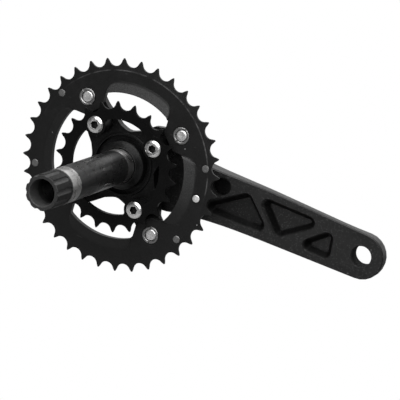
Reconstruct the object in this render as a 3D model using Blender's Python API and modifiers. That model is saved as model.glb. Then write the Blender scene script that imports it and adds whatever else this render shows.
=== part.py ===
"""Drive-side crankset of a bicycle: arm with spider, hollow spindle, two chainrings and their fasteners.

The spindle lies on the Y axis with its splined end at -Y, towards the frame. The arm points along +X
and +Z is up. The origin is on the spindle axis, in the plane of the outer chainring's teeth.
Lengths are in millimetres until a mesh is made, and metres in the scene.
"""
import bpy
import bmesh
from math import asin, atan2, cos, degrees, hypot, pi, radians, sin
from mathutils import Matrix

MM = 0.001
GAP = 0.3                  # clearance kept between pieces that touch

# Chain and bolt circles
SEAT_R = 5.2               # hollow between two teeth
SEAT_ARC = 72              # half of the arc it covers, in degrees
OUTER_TEETH = 36
OUTER_TIP_R = 74.0
OUTER_ROOT_R = 68.35
OUTER_BOLT_R = 52.0        # 104 mm bolt circle
INNER_TEETH = 22
INNER_TIP_R = 45.5
INNER_ROOT_R = 39.9
INNER_BOLT_R = 32.0        # 64 mm bolt circle
INNER_PHASE = 7.0          # degrees from the arm to the inner ring's first tooth
BOLT_ANGLES = (45.0, 135.0, 225.0, 315.0)

# Outer chainring, along the spindle and across
OUTER_FACE = -1.5
OUTER_BACK = 2.3
OUTER_SEAT = -0.7          # floor of the nut's counterbore
WINDOW_R = (49.2, 50.6, 50.6, 50.6)    # the window over the arm is the shallow one
WINDOW_HALF = 24.5
DISH_R = 58.5              # outside this radius the plate is flat; inside it the rims lean inboard
DISH_RISE = 1.6
TAB_CORNER = 34.0          # where a tab's slanted inner edge meets the window's side

# Inner chainring
INNER_FACE = -8.2
INNER_BACK = -5.0
INNER_SEAT = -7.4
INNER_OPENING_R = 33.0
INNER_TAB_R = 7.8

# Spider and hub
SPIDER_FACE = OUTER_BACK + GAP
SPIDER_BACK = 7.6
SPIDER_TIP_R = 9.2
WEB_R = 23.3               # bottom of the hollow between two spider arms
POST_R = 7.4
POST_HOLE_FLOOR = 6.5
HUB_LIP = 3.7
HUB_BACK = 30.5
GROOVE_FLOOR = 8.0

# Spindle
SPINDLE_R = 12.0
SPINDLE_BORE_R = 9.0
SPINDLE_HOLLOW_R = 9.9     # wider hollow between the two ends
SPINDLE_MOUTH = 12.5
SPINDLE_END = -117.0
SPINDLE_BACK = 29.5
SPLINES = 10
SPLINE_LENGTH = 20.0
SPLINE_FLOOR_R = 10.8
SPLINE_CUTTER_R = 2.6
SPLINE_PHASE = 19.0

# Arm
ARM_LENGTH = 175.0
ARM_END_R = 15.85
PEDAL_HOLE_R = 7.15
ARM_FACE = 24.4            # inboard face at the pedal
ARM_THICKNESS = 12.4
ARM_STATIONS = (           # distance along the arm, half width, inboard face, thickness
    (8.0, 21.0, 12.0, 17.0),
    (32.0, 22.6, 12.4, 19.2),
    (44.0, 19.9, 13.8, 19.0),
    (62.0, 18.5, 18.2, 15.9),
    (80.0, 17.9, 21.8, 13.4),
    (100.0, 17.6, 23.7, 12.0),
    (130.0, 17.0, 24.3, 10.9),
    (160.0, 16.3, ARM_FACE, 10.2),
    (ARM_LENGTH, ARM_END_R, ARM_FACE, ARM_THICKNESS),
)
ARM_EDGE = 0.8             # chamfer round the inboard face
ARM_CROWN_RUN = 4.5        # rounding of the outboard edges, across and deep
ARM_CROWN_RISE = 6.5
POCKET_DEPTH = 6.7
POCKET_WALL_RUN = 4.2
POCKET_CORNER_R = 4.8
POCKETS = (                # three corners, face level at the first x, rise of the face per mm
    (((50.4, -12.9), (110.4, -12.9), (87.1, 12.0)), 21.8, 80.0, 0.13),
    (((114.5, -12.0), (147.8, 12.0), (90.7, 12.5)), 24.1, 115.0, 0.02),
    (((125.0, -12.0), (155.3, -12.0), (152.5, 11.5)), 24.4, 150.0, 0.0),
)
DIMPLE = (68.2, 8.7, 6.2, 3.0)     # x, z, radius, depth

# Fasteners
HEAD_R = 6.0
HEAD_CLEARANCE_R = 6.4
SLEEVE_R = 4.9
SHANK_R = 3.8
HEX_ACROSS = 5.0
HEX_DEPTH = 2.6
PIN_R = 2.6
PIN_CIRCLE_R = 64.3
PIN_ANGLES = (20.0, 150.0, 200.0, 330.0)
STOP_PIN_X = 60.3
STOP_PIN_END = 14.5

for old in list(bpy.data.objects):
    bpy.data.objects.remove(old, do_unlink=True)
parts = bpy.data.collections.new("bicycle_crankset")
cutters = bpy.data.collections.new("cutters")
bpy.context.scene.collection.children.link(parts)
bpy.context.scene.collection.children.link(cutters)


def material(name, colour, roughness, metallic):
    mat = bpy.data.materials.new(name)
    mat.use_nodes = True
    shader = mat.node_tree.nodes["Principled BSDF"]
    shader.inputs["Base Color"].default_value = (*colour, 1.0)
    shader.inputs["Roughness"].default_value = roughness
    shader.inputs["Metallic"].default_value = metallic
    mat.diffuse_color = (*colour, 1.0)
    return mat


ARM_BLACK = material("anodised_arm", (0.022, 0.022, 0.024), 0.45, 0.6)
RING_BLACK = material("anodised_ring", (0.020, 0.020, 0.021), 0.4, 0.7)
SPINDLE_BLACK = material("blackened_steel", (0.05, 0.05, 0.055), 0.3, 0.9)
BRIGHT = material("bright_steel", (0.72, 0.72, 0.71), 0.25, 1.0)
SEAL_BLACK = material("seal_rubber", (0.02, 0.02, 0.02), 0.5, 0.0)


# Outlines, as lists of (x, z)

def polar(radius, angle):
    return radius * cos(radians(angle)), radius * sin(radians(angle))


def turned_by(x, z, angle):
    c, s = cos(radians(angle)), sin(radians(angle))
    return x * c - z * s, x * s + z * c


def arc(cx, cz, r, start, end, steps):
    """Points on an arc, angles in degrees, both ends included."""
    angles = [start + (end - start) * i / steps for i in range(steps + 1)]
    return [(cx + r * cos(radians(a)), cz + r * sin(radians(a))) for a in angles]


def filleted(corners, steps=4):
    """Outline through (x, z, radius) corners, each rounded to its radius."""
    outline = []
    for i, (x, z, r) in enumerate(corners):
        if r == 0:
            outline.append((x, z))
            continue
        px, pz, _ = corners[i - 1]
        nx, nz, _ = corners[(i + 1) % len(corners)]
        before = atan2(pz - z, px - x)
        after = atan2(nz - z, nx - x)
        opening = (after - before + pi) % (2 * pi) - pi
        half = abs(opening) / 2
        middle = before + opening / 2
        cx = x + r / sin(half) * cos(middle)
        cz = z + r / sin(half) * sin(middle)
        turn = (pi - 2 * half) * (1 if opening > 0 else -1)
        for k in range(steps + 1):
            a = middle + pi + turn * (0.5 - k / steps)
            outline.append((cx + r * cos(a), cz + r * sin(a)))
    return outline


def inset(corners, distance):
    """Corners of an anticlockwise polygon, moved in by a distance from every edge."""
    moved = []
    for i, (x, z) in enumerate(corners):
        px, pz = corners[i - 1]
        nx, nz = corners[(i + 1) % len(corners)]
        before = hypot(x - px, z - pz)
        after = hypot(nx - x, nz - z)
        ux, uz = (pz - z) / before, (x - px) / before
        vx, vz = (z - nz) / after, (nx - x) / after
        scale = distance / (1 + ux * vx + uz * vz)
        moved.append((x + (ux + vx) * scale, z + (uz + vz) * scale))
    return moved


def toothed_outline(teeth, tip_r, root_r, phase):
    """Sprocket outline: a round hollow between every two teeth, and a narrow flat on each tip."""
    step = 360 / teeth
    tip_half = degrees(0.35 / tip_r)
    outline = []
    for i in range(teeth):
        tooth = phase + i * step
        outline += [polar(tip_r, tooth - tip_half), polar(tip_r, tooth + tip_half)]
        seat = arc(root_r + SEAT_R, 0, SEAT_R, 180 + SEAT_ARC, 180 - SEAT_ARC, 4)
        outline += [turned_by(x, z, tooth + step / 2) for x, z in seat]
    return outline


def outer_opening(radii, half_width, corner_r):
    """Inside edge of the outer chainring: four windows with a bolt tab between every two."""
    corners = []
    for quarter, radius in enumerate(radii):
        half = degrees(asin(half_width / radius))
        edge = arc(0, 0, radius, half, -half, 8)
        window = [(TAB_CORNER, half_width, 3.0), (*edge[0], corner_r)]
        window += [(x, z, 0) for x, z in edge[1:-1]]
        window += [(*edge[-1], corner_r), (TAB_CORNER, -half_width, 3.0)]
        corners += [(*turned_by(x, z, 90 * quarter), r) for x, z, r in reversed(window)]
    return filleted(corners)


def inner_opening():
    """Inside edge of the inner chainring: a circle with a round tab reaching in to each bolt."""
    lean = (INNER_OPENING_R ** 2 + INNER_BOLT_R ** 2 - INNER_TAB_R ** 2) / (2 * INNER_OPENING_R * INNER_BOLT_R)
    half = 90 - degrees(asin(lean))
    edge = arc(0, 0, INNER_OPENING_R, half, 90 - half, 8)
    meet = degrees(atan2(INNER_OPENING_R * sin(radians(half)),
                         INNER_OPENING_R * cos(radians(half)) - INNER_BOLT_R))
    tab = arc(INNER_BOLT_R, 0, INNER_TAB_R, -meet, meet - 360, 8)
    corners = []
    for angle in BOLT_ANGLES:
        corners += [(*turned_by(x, z, angle), 0) for x, z in tab[1:-1]]
        window = [turned_by(x, z, angle) for x, z in edge]
        corners += [(*window[0], 2.5)] + [(x, z, 0) for x, z in window[1:-1]] + [(*window[-1], 2.5)]
    return filleted(corners)


def spider_outline():
    """Four arms with round ends, each swept a little, joined by hollow curves round the hub."""
    arm = [(25.0, -11.2, 4.0), (41.0, -SPIDER_TIP_R, 8.0)]
    arm += [(x, z, 0) for x, z in arc(OUTER_BOLT_R, 0, SPIDER_TIP_R, -90, 90, 8)]
    arm += [(42.5, SPIDER_TIP_R, 5.0), (34.5, 13.7, 6.0), (23.0, 15.0, 5.0)]
    corners = []
    for angle in BOLT_ANGLES:
        corners += [(*turned_by(x, z, angle), r) for x, z, r in arm]
        corners.append((*polar(WEB_R, angle + 52), 8.0))
    return filleted(corners, 3)


# Solids

def link(obj, collection, mat=None):
    collection.objects.link(obj)
    if collection is cutters:
        obj.hide_render = True
        obj.display_type = "WIRE"
    if mat:
        obj.data.materials.append(mat)
    return obj


def evaluated_mesh(obj):
    """The object's mesh with its modifiers, in world coordinates."""
    bpy.context.view_layer.update()
    mesh = bpy.data.meshes.new_from_object(obj.evaluated_get(bpy.context.evaluated_depsgraph_get()))
    mesh.transform(obj.matrix_world)
    return mesh


def plate(name, outline, y0, y1):
    """A flat outline in the XZ plane, thickened along Y, as a closed mesh among the cutters."""
    curve = bpy.data.curves.new(name, "CURVE")
    curve.dimensions = "2D"
    curve.fill_mode = "BOTH"
    curve.extrude = (y1 - y0) / 2 * MM
    spline = curve.splines.new("POLY")
    spline.points.add(len(outline) - 1)
    for point, (x, z) in zip(spline.points, outline):
        point.co = (x * MM, z * MM, 0, 1)
    spline.use_cyclic_u = True
    flat = bpy.data.objects.new(name + "_outline", curve)
    bpy.context.scene.collection.objects.link(flat)
    flat.rotation_euler = (radians(90), 0, 0)
    flat.location = (0, (y0 + y1) / 2 * MM, 0)
    mesh = evaluated_mesh(flat)
    bpy.data.objects.remove(flat, do_unlink=True)
    bm = bmesh.new()
    bm.from_mesh(mesh)
    bmesh.ops.remove_doubles(bm, verts=bm.verts, dist=1e-6)
    bmesh.ops.recalc_face_normals(bm, faces=bm.faces)
    bm.to_mesh(mesh)
    bm.free()
    return link(bpy.data.objects.new(name, mesh), cutters)


def turned(name, profile, steps, collection=cutters, mat=None, ring=True):
    """A profile of (radius, y) points turned about the Y axis. It runs from +Y to -Y on its outer side."""
    mesh = bpy.data.meshes.new(name)
    edges = [(i, i + 1) for i in range(len(profile) - 1)]
    if ring:
        edges.append((len(profile) - 1, 0))
    mesh.from_pydata([(r * MM, 0, y * MM) for r, y in profile], edges, [])
    obj = link(bpy.data.objects.new(name, mesh), collection, mat)
    obj.rotation_euler = (radians(-90), 0, 0)
    screw = obj.modifiers.new("turn", "SCREW")
    screw.axis = "Z"
    screw.steps = steps
    screw.render_steps = steps
    screw.use_merge_vertices = True
    screw.merge_threshold = 1e-6
    return obj


def prism(name, x, z, radius, y0, y1, sides=32):
    """A cylinder or a regular prism along Y, among the cutters."""
    bm = bmesh.new()
    bmesh.ops.create_cone(bm, cap_ends=True, segments=sides, radius1=radius * MM, radius2=radius * MM,
                          depth=(y1 - y0) * MM, matrix=Matrix.Rotation(radians(90), 4, "X"))
    mesh = bpy.data.meshes.new(name)
    bm.to_mesh(mesh)
    bm.free()
    obj = link(bpy.data.objects.new(name, mesh), cutters)
    obj.location = (x * MM, (y0 + y1) / 2 * MM, z * MM)
    return obj


def hole(name, x, z, profile, steps=32):
    """A stepped or chamfered hole: (radius, y) points from +Y to -Y, closed on the hole's axis."""
    ends = [(0, profile[0][1])] + list(profile) + [(0, profile[-1][1])]
    obj = turned(name, ends, steps, ring=False)
    obj.location = (x * MM, 0, z * MM)
    return obj


def lofted(name, loops):
    """A solid through loops of (x, y, z) points with equal counts, capped at both ends."""
    bm = bmesh.new()
    rings = [[bm.verts.new((x * MM, y * MM, z * MM)) for x, y, z in loop] for loop in loops]
    for lower, upper in zip(rings, rings[1:]):
        for i in range(len(lower)):
            bm.faces.new((lower[i - 1], lower[i], upper[i], upper[i - 1]))
    bm.faces.new(rings[0])
    bm.faces.new(rings[-1])
    bmesh.ops.recalc_face_normals(bm, faces=bm.faces)
    mesh = bpy.data.meshes.new(name)
    bm.to_mesh(mesh)
    bm.free()
    return link(bpy.data.objects.new(name, mesh), cutters)


def boolean(target, tools, operation="DIFFERENCE"):
    for tool in tools:
        mod = target.modifiers.new(tool.name, "BOOLEAN")
        mod.operation = operation
        mod.solver = "EXACT"
        mod.object = tool


def copies(name, first, places, mat):
    """Copies of one finished shape, each with its place in the XZ plane and its turn about Y."""
    mesh = evaluated_mesh(first)
    mesh.materials.clear()
    mesh.materials.append(mat)
    for number, (x, z, angle) in enumerate(places, start=1):
        obj = link(bpy.data.objects.new(f"{name}_{number}", mesh), parts)
        obj.location = (x * MM, 0, z * MM)
        obj.rotation_euler = (0, radians(-angle), 0)


# Outer chainring: a turned blank, cut to teeth, opened by windows whose rims lean inboard

def outer_chainring():
    tooth_half, tip_half, middle = 1.0, 0.35, -0.2
    ring = turned("outer_chainring", [
        (38.0, OUTER_BACK), (66.8, OUTER_BACK), (67.8, middle + tooth_half),
        (OUTER_TIP_R + 1, middle + tip_half), (OUTER_TIP_R + 1, middle - tip_half),
        (66.0, middle - tooth_half), (65.5, OUTER_FACE), (38.0, OUTER_FACE)], 40, parts, RING_BLACK)
    teeth = plate("outer_teeth", toothed_outline(OUTER_TEETH, OUTER_TIP_R, OUTER_ROOT_R, 45), -4, 5)
    boolean(ring, [teeth], "INTERSECT")
    over = 0.5                 # how far the cutting tools reach past a face
    narrow = outer_opening(WINDOW_R, WINDOW_HALF, 4.0)
    wide = outer_opening((DISH_R,) * 4, WINDOW_HALF - GAP, 9.0)
    lean = DISH_RISE / (DISH_R - WINDOW_R[1])
    crest = outer_opening([r - over / lean for r in WINDOW_R], WINDOW_HALF - GAP, 4.0)
    rims = lofted("outer_rims", [
        [(x, OUTER_FACE + 1, z) for x, z in wide],
        [(x, OUTER_FACE, z) for x, z in wide],
        [(x, OUTER_FACE - DISH_RISE - over, z) for x, z in crest]])
    boolean(ring, [rims], "UNION")
    tools = [lofted("outer_window", [
        [(x, OUTER_FACE - 4, z) for x, z in narrow],
        [(x, OUTER_BACK - DISH_RISE, z) for x, z in narrow],
        [(x, OUTER_BACK, z) for x, z in outer_opening((DISH_R,) * 4, WINDOW_HALF, 9.0)],
        [(x, OUTER_BACK + over, z) for x, z in outer_opening((DISH_R,) * 4, WINDOW_HALF, 9.0)]])]
    for angle in BOLT_ANGLES:
        x, z = polar(OUTER_BOLT_R, angle)
        tools.append(hole(f"outer_bolt_hole_{angle:.0f}", x, z, [
            (SLEEVE_R + GAP, OUTER_BACK + 1), (SLEEVE_R + GAP, OUTER_SEAT),
            (HEAD_CLEARANCE_R, OUTER_SEAT), (HEAD_CLEARANCE_R, OUTER_FACE - 1)], 20))
    pins = [polar(PIN_CIRCLE_R, angle) for angle in PIN_ANGLES] + [(STOP_PIN_X, 0)]
    for number, (x, z) in enumerate(pins):
        tools.append(prism(f"pin_hole_{number}", x, z, PIN_R + GAP, OUTER_FACE - 1, OUTER_BACK + 1, 16))
    boolean(ring, tools)


# Inner chainring: a flat toothed plate with four round tabs, counterbored for the bolt heads

def inner_chainring():
    ring = turned("inner_chainring", [
        (22.0, INNER_BACK), (38.2, INNER_BACK), (39.0, -6.0), (46.5, -6.7), (46.5, -7.4),
        (39.0, INNER_FACE), (22.0, INNER_FACE)], 36, parts, RING_BLACK)
    teeth = plate("inner_teeth", toothed_outline(INNER_TEETH, INNER_TIP_R, INNER_ROOT_R, INNER_PHASE), -10, -3)
    boolean(ring, [teeth], "INTERSECT")
    tools = [plate("inner_window", inner_opening(), -10, -3)]
    for angle in BOLT_ANGLES:
        x, z = polar(INNER_BOLT_R, angle)
        tools.append(hole(f"inner_bolt_hole_{angle:.0f}", x, z, [
            (SHANK_R + GAP, INNER_BACK + 1), (SHANK_R + GAP, INNER_SEAT),
            (HEAD_CLEARANCE_R, INNER_SEAT), (HEAD_CLEARANCE_R, INNER_FACE - 1)], 20))
    boolean(ring, tools)


# Spindle: a tube with open flutes cut into its free end

def spindle():
    tube = turned("spindle", [
        (SPINDLE_BORE_R, SPINDLE_BACK), (SPINDLE_R - 0.4, SPINDLE_BACK), (SPINDLE_R, SPINDLE_BACK - 0.4),
        (SPINDLE_R, SPINDLE_END + 0.8), (SPINDLE_R - 0.8, SPINDLE_END),
        (SPINDLE_BORE_R + 0.4, SPINDLE_END), (SPINDLE_BORE_R, SPINDLE_END + 0.4),
        (SPINDLE_BORE_R, SPINDLE_END + SPINDLE_MOUTH), (SPINDLE_HOLLOW_R, SPINDLE_END + SPINDLE_MOUTH),
        (SPINDLE_HOLLOW_R, -6.0), (SPINDLE_BORE_R, -3.0)], 30, parts, SPINDLE_BLACK)
    flutes = []
    end = SPINDLE_END + SPLINE_LENGTH
    r = SPLINE_CUTTER_R
    for number in range(SPLINES):
        x, z = polar(SPLINE_FLOOR_R + r, SPLINE_PHASE + number * 360 / SPLINES)
        dome = [(r * sin(radians(a)), end - r + r * cos(radians(a))) for a in (30, 60, 90)]
        flutes.append(hole(f"flute_{number}", x, z, [(0.3, end), *dome, (r, SPINDLE_END - 1)], 12))
    boolean(tube, flutes)


# Crank arm: a tapered, dished forging, its spider, its hub and the inner chainring's posts in one

def station(x):
    """Half width, inboard face and thickness of the arm at a distance, on a smooth curve."""
    last = len(ARM_STATIONS) - 1
    i = max(k for k in range(last) if ARM_STATIONS[k][0] <= x)
    a, b = ARM_STATIONS[i], ARM_STATIONS[i + 1]
    before, after = ARM_STATIONS[max(i - 1, 0)], ARM_STATIONS[min(i + 2, last)]
    span = b[0] - a[0]
    t = (x - a[0]) / span
    values = []
    for k in (1, 2, 3):
        start = (b[k] - before[k]) / (b[0] - before[0]) * span
        end = (after[k] - a[k]) / (after[0] - a[0]) * span
        values.append((2 * t ** 3 - 3 * t ** 2 + 1) * a[k] + (t ** 3 - 2 * t ** 2 + t) * start
                      + (3 * t ** 2 - 2 * t ** 3) * b[k] + (t ** 3 - t ** 2) * end)
    return values


def arm_blank():
    """The arm as a loft of its plan outline, level by level from the inboard to the outboard face."""
    side = []
    stretch, steps = ARM_LENGTH - ARM_STATIONS[0][0], 17
    for i in range(steps):
        x = ARM_STATIONS[0][0] + stretch * i / steps
        width, face, thick = station(x)
        slope = (station(x + 0.5)[0] - width) / 0.5
        length = hypot(slope, 1)
        side.append((x, width, -slope / length, 1 / length, face, thick))
    for a in range(90, -1, -15):
        nx, nz = polar(1, a)
        side.append((ARM_LENGTH + ARM_END_R * nx, ARM_END_R * nz, nx, nz, ARM_FACE, ARM_THICKNESS))

    def level(k, thick):
        if k < 2:
            return (0, ARM_EDGE) if k == 0 else (ARM_EDGE, 0)
        a = radians((k - 2) * 30)
        return thick - ARM_CROWN_RISE * (1 - sin(a)), ARM_CROWN_RUN * (1 - cos(a))

    bm = bmesh.new()
    upper, lower = [], []
    for k in range(6):
        above, below = [], []
        for x, z, nx, nz, face, thick in side:
            depth, offset = level(k, thick)
            px, py, pz = (x - nx * offset) * MM, (face + depth) * MM, (z - nz * offset) * MM
            above.append(bm.verts.new((px, py, pz)))
            below.append(above[-1] if pz < 1e-7 else bm.verts.new((px, py, -pz)))
        upper.append(above)
        lower.append(below)
    for k in range(5):
        for i in range(len(side) - 1):
            for row in (upper, lower):
                bm.faces.new((row[k][i], row[k][i + 1], row[k + 1][i + 1], row[k + 1][i]))
    for k in (0, 5):
        for i in range(len(side) - 1):
            corners = [upper[k][i], upper[k][i + 1], lower[k][i + 1], lower[k][i]]
            bm.faces.new(list(dict.fromkeys(corners)))
    bm.faces.new([row[0] for row in upper] + [row[0] for row in reversed(lower)])
    bmesh.ops.recalc_face_normals(bm, faces=bm.faces)
    mesh = bpy.data.meshes.new("crank_arm")
    bm.to_mesh(mesh)
    bm.free()
    return link(bpy.data.objects.new("crank_arm", mesh), parts, ARM_BLACK)


def pocket(name, corners, face, x0, rise):
    """A blind pocket with sloping walls, its mouth following the arm's face."""
    loops = []
    over = 1.5
    slope = POCKET_WALL_RUN / POCKET_DEPTH
    for depth in (-over, 0.0, POCKET_DEPTH):
        moved = depth * slope
        radius = max(POCKET_CORNER_R - moved, 1.0)
        outline = filleted([(x, z, radius) for x, z in inset(corners, moved)], 4)
        loops.append([(x, face + (x - x0) * rise + depth, z) for x, z in outline])
    return lofted(name, loops)


def crank_arm():
    arm = arm_blank()
    spider = plate("spider", spider_outline(), 0, 18)
    umbrella = turned("spider_section", [
        (0, 17.0), (16.0, 17.0), (24.0, 10.5), (34.0, 9.6), (44.5, SPIDER_BACK), (62.0, SPIDER_BACK),
        (62.0, SPIDER_FACE), (40.4, SPIDER_FACE), (39.0, HUB_LIP + 0.8), (0, HUB_LIP + 0.8)], 36, ring=False)
    boolean(spider, [umbrella], "INTERSECT")
    hub = turned("hub", [
        (0, HUB_BACK), (14.5, HUB_BACK), (16.0, HUB_BACK - 1.5), (17.2, 25.0), (20.2, 17.0),
        (22.3, 10.0), (22.3, HUB_LIP + 0.5), (21.8, HUB_LIP), (0, HUB_LIP)], 40, ring=False)
    bosses = [spider, hub]
    tools = [
        hole("hub_bore", 0, 0, [(SPINDLE_R + GAP, HUB_BACK + 2), (SPINDLE_R + GAP, GROOVE_FLOOR),
                                (20.6, GROOVE_FLOOR), (20.6, HUB_LIP + 0.2), (21.2, HUB_LIP - 1)], 40),
        hole("pedal_hole", ARM_LENGTH, 0, [
            (PEDAL_HOLE_R + 1.6, ARM_FACE + ARM_THICKNESS + 1), (PEDAL_HOLE_R, ARM_FACE + ARM_THICKNESS - 0.6),
            (PEDAL_HOLE_R, ARM_FACE + 0.6), (PEDAL_HOLE_R + 1.6, ARM_FACE - 1)], 28),
    ]
    for angle in BOLT_ANGLES:
        x, z = polar(INNER_BOLT_R, angle)
        bosses.append(prism(f"post_{angle:.0f}", x, z, POST_R, INNER_BACK + GAP, 7, 20))
        tools.append(prism(f"post_hole_{angle:.0f}", x, z, SHANK_R + GAP, INNER_BACK - 1, POST_HOLE_FLOOR, 16))
        x, z = polar(OUTER_BOLT_R, angle)
        tools.append(prism(f"tab_hole_{angle:.0f}", x, z, SLEEVE_R + GAP, 0, 12, 20))
    for number, (corners, face, x0, rise) in enumerate(POCKETS, start=1):
        tools.append(pocket(f"pocket_{number}", corners, face, x0, rise))
    x, z, radius, depth = DIMPLE
    tools.append(prism("dimple", x, z, radius, 10, station(x)[1] + depth, 24))
    boolean(arm, bosses, "UNION")
    boolean(arm, tools)


# Fasteners, each shape made once and placed on its bolt circle

def fasteners():
    outer_places = [(*polar(OUTER_BOLT_R, a), a) for a in BOLT_ANGLES]
    inner_places = [(*polar(INNER_BOLT_R, a), a) for a in BOLT_ANGLES]
    flange_top = OUTER_SEAT - GAP
    nut = turned("nut_shape", [
        (SHANK_R + GAP, 6.8), (SLEEVE_R, 6.8), (SLEEVE_R, flange_top), (HEAD_R, flange_top),
        (HEAD_R, -1.9), (5.6, -2.2), (4.7, -2.2), (SHANK_R + GAP, -1.6)], 20)
    slot = link(bpy.data.objects.new("slot", bpy.data.meshes.new("slot")), cutters)
    bm = bmesh.new()
    bmesh.ops.create_cube(bm, size=1, matrix=Matrix.Diagonal((16 * MM, 1.5 * MM, 1.6 * MM, 1)))
    bm.to_mesh(slot.data)
    bm.free()
    slot.location = (0, -2.2 * MM, 0)
    boolean(nut, [slot])
    copies("outer_nut", nut, outer_places, BRIGHT)

    hex_r = HEX_ACROSS / 2 / cos(radians(30))
    bolt = turned("bolt_shape", [
        (0, 10.2), (5.2, 10.2), (HEAD_R, 9.4), (HEAD_R, SPIDER_BACK + GAP), (SHANK_R, SPIDER_BACK + GAP),
        (SHANK_R, -0.9), (3.2, -1.5), (0, -1.5)], 20, ring=False)
    boolean(bolt, [prism("bolt_socket", 0, 0, hex_r, 10.2 - HEX_DEPTH, 11.5, 6)])
    copies("outer_bolt", bolt, outer_places, BRIGHT)

    under = INNER_SEAT - GAP
    inner = turned("inner_bolt_shape", [
        (0, 5.8), (3.2, 5.8), (SHANK_R, 5.2), (SHANK_R, under), (HEAD_R, under), (HEAD_R, under - 0.8),
        (5.6, under - 1.4), (4.6, under - 1.9), (3.4, under - 2.1), (0, under - 2.1)], 20, ring=False)
    boolean(inner, [prism("inner_socket", 0, 0, hex_r, -11, under - 2.1 + HEX_DEPTH, 6)])
    copies("inner_bolt", inner, inner_places, BRIGHT)

    pin = turned("pin_shape", [(0, 2.0), (PIN_R, 2.0), (PIN_R, -1.7), (2.3, -1.9), (0, -1.9)], 16, ring=False)
    copies("shift_pin", pin, [(*polar(PIN_CIRCLE_R, a), 0) for a in PIN_ANGLES], BRIGHT)
    stop = turned("chain_stop_pin", [
        (0, STOP_PIN_END), (2.6, STOP_PIN_END), (3.2, STOP_PIN_END - 0.6), (3.2, OUTER_BACK + GAP),
        (PIN_R, OUTER_BACK + GAP), (PIN_R, -1.7), (2.3, -1.9), (0, -1.9)], 16, parts, BRIGHT, ring=False)
    stop.location = (STOP_PIN_X * MM, 0, 0)


# Seal ring: loose on the spindle, in the hub's groove, with a narrow lip towards the frame

def seal_ring():
    bore = SPINDLE_R + GAP
    back = GROOVE_FLOOR - GAP
    turned("seal_ring", [
        (bore, back), (17.0, back), (17.0, 1.6), (16.4, 0.9), (13.7, 0.5), (13.7, -2.2), (13.3, -2.6),
        (bore, -2.6)], 32, parts, SEAL_BLACK)


outer_chainring()
inner_chainring()
spindle()
crank_arm()
fasteners()
seal_ring()
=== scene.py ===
"""Looks of the drive-side bicycle crankset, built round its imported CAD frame.

The spindle lies on the Y axis, the arm points along +X and +Z is up. Sizes are written in millimetres.
"""
import bmesh
import bpy
from math import asin, atan2, cos, degrees, hypot, pi, radians, sin
from mathutils import Matrix, Vector


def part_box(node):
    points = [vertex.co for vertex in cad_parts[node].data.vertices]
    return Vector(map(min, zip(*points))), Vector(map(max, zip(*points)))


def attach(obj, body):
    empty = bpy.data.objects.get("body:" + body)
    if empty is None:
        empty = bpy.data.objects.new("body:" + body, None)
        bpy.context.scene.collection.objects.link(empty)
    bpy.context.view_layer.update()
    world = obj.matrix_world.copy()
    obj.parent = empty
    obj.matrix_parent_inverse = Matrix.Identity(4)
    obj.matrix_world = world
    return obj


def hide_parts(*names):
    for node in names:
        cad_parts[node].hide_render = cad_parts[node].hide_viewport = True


MM = 0.001

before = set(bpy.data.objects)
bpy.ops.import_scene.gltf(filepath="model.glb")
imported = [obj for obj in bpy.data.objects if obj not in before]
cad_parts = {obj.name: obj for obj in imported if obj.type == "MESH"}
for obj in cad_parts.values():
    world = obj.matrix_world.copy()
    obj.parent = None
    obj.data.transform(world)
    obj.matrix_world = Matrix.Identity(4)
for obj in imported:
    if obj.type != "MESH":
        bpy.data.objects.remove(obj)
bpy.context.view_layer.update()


# Studio. A camera with a long lens stands about a metre and a half off, rolled a little. The paper floor
# and the room behind are white, and two soft lights hang above, one in front and one behind.

LENS = 203.6                       # on a 36 mm sensor
CAMERA_TURN = 19.017               # degrees round from -Y towards +X
CAMERA_RISE = 16.859
CAMERA_ROLL = 17.519
AXIS_IN_VIEW = (-54.81, -23.63, 1546.47)     # the origin as the camera sees it: right, down, ahead


def aim_camera():
    turn, rise, roll = (radians(a) for a in (CAMERA_TURN, CAMERA_RISE, CAMERA_ROLL))
    ahead = -Vector((sin(turn) * cos(rise), -cos(turn) * cos(rise), sin(rise)))
    right = ahead.cross(Vector((0, 0, 1))).normalized()
    down = -right.cross(ahead)
    level = Matrix((right, down, ahead))
    rolled = Matrix(((cos(roll), -sin(roll), 0), (sin(roll), cos(roll), 0), (0, 0, 1))) @ level
    place = -(rolled.transposed() @ Vector(AXIS_IN_VIEW)) * MM
    data = bpy.data.cameras.new("studio_camera")
    data.sensor_width = 36
    data.lens = LENS
    data.clip_start, data.clip_end = 0.05, 20
    camera = bpy.data.objects.new("studio_camera", data)
    bpy.context.scene.collection.objects.link(camera)
    axes = Matrix((rolled[0], -rolled[1], -rolled[2])).transposed()
    camera.matrix_world = Matrix.Translation(place) @ axes.to_4x4()
    bpy.context.scene.camera = camera


aim_camera()


def add(tree, kind, settings=None, **sockets):
    """A shader node. Sockets are given by name, or by number as i0, i1; a link or a plain value."""
    made = tree.nodes.new("ShaderNode" + kind)
    for key, value in (settings or {}).items():
        setattr(made, key, value)
    for key, value in sockets.items():
        numbered = key[0] == "i" and key[1:].isdigit()
        socket = made.inputs[int(key[1:])] if numbered else made.inputs[key.replace("_", " ")]
        if isinstance(value, bpy.types.NodeSocket):
            tree.links.new(value, socket)
        else:
            socket.default_value = value
    return made


def calc(tree, operation, first, second=0.0, third=0.0):
    return add(tree, "Math", {"operation": operation}, i0=first, i1=second, i2=third).outputs[0]


def ramp(tree, value, low, high, to_low=0.0, to_high=1.0):
    """A smooth step between two levels of a value."""
    return add(tree, "MapRange", {"interpolation_type": "SMOOTHSTEP"}, Value=value, From_Min=low,
               From_Max=high, To_Min=to_low, To_Max=to_high).outputs[0]


def tint(tree, amount, base, over):
    """One colour laid over another by a mask."""
    return add(tree, "Mix", {"data_type": "RGBA"}, i0=amount, i6=base, i7=over).outputs[2]


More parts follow.
